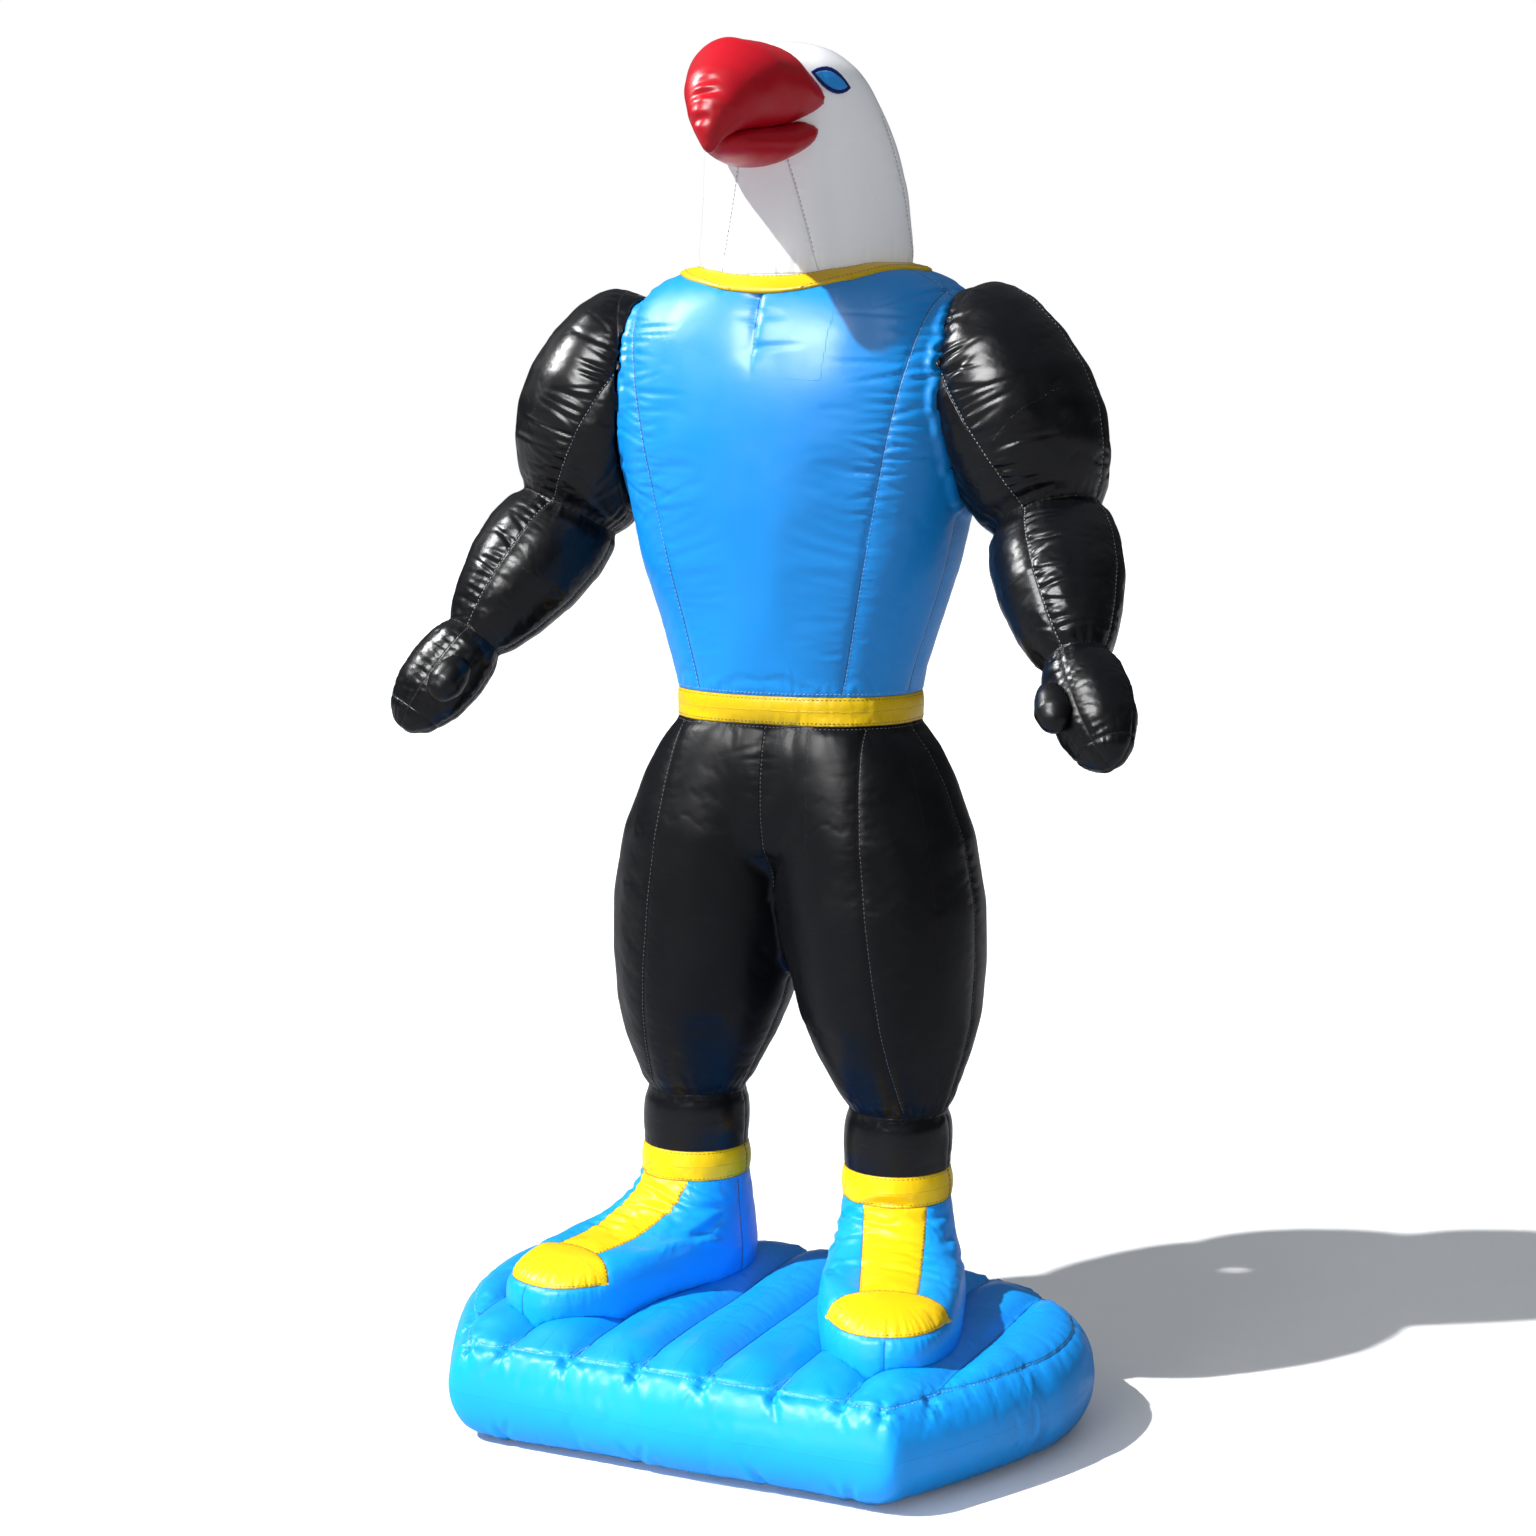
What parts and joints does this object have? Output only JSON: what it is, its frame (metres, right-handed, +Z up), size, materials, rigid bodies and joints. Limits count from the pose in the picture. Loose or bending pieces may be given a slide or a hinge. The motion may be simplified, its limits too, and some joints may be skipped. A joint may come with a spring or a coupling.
{
  "type": "inflatable eagle figure",
  "caption": "Free-standing inflatable eagle figure with a hooked beak, vest, trousers and boots, sewn from coated fabric bags and standing on a channelled inflated plinth.",
  "frame": {"origin": "on the floor under the middle of the plinth's bounding box", "axes": "+Z up, the figure looks towards -Y, its left side is at +X"},
  "size_m": [1.4026, 0.824, 2.386],
  "materials": {
    "blue_vinyl": "glossy coated fabric",
    "yellow_vinyl": "glossy coated fabric",
    "white_vinyl": "satin coated fabric",
    "red_vinyl": "glossy coated fabric",
    "navy_vinyl": "glossy coated fabric",
    "eye_blue_vinyl": "glossy coated fabric",
    "black_satin": "satin coated fabric",
    "black_gloss": "glossy coated fabric"
  },
  "bodies": {
    "root": {"plinth": "blue_vinyl", "vest": "blue_vinyl", "boot_left": "blue_vinyl", "boot_right": "blue_vinyl", "waistband": "yellow_vinyl", "neckband": "yellow_vinyl", "boot_cuff_left": "yellow_vinyl", "boot_cuff_right": "yellow_vinyl", "boot_toe_cap_left": "yellow_vinyl", "boot_toe_cap_right": "yellow_vinyl", "boot_tongue_left": "yellow_vinyl", "boot_tongue_right": "yellow_vinyl", "head": "white_vinyl", "beak_upper": "red_vinyl", "beak_lower": "red_vinyl", "eye_rim_left": "navy_vinyl", "eye_rim_right": "navy_vinyl", "eye_left": "eye_blue_vinyl", "eye_right": "eye_blue_vinyl", "trouser_leg_left": "black_satin", "trouser_leg_right": "black_satin", "shin_left": "black_gloss", "shin_right": "black_gloss", "upper_arm_left": "black_gloss", "upper_arm_right": "black_gloss", "forearm_left": "black_gloss", "forearm_right": "black_gloss", "hand_left": "black_gloss", "hand_right": "black_gloss", "thumb_left": "black_gloss", "thumb_right": "black_gloss"}
  },
  "joints": []
}
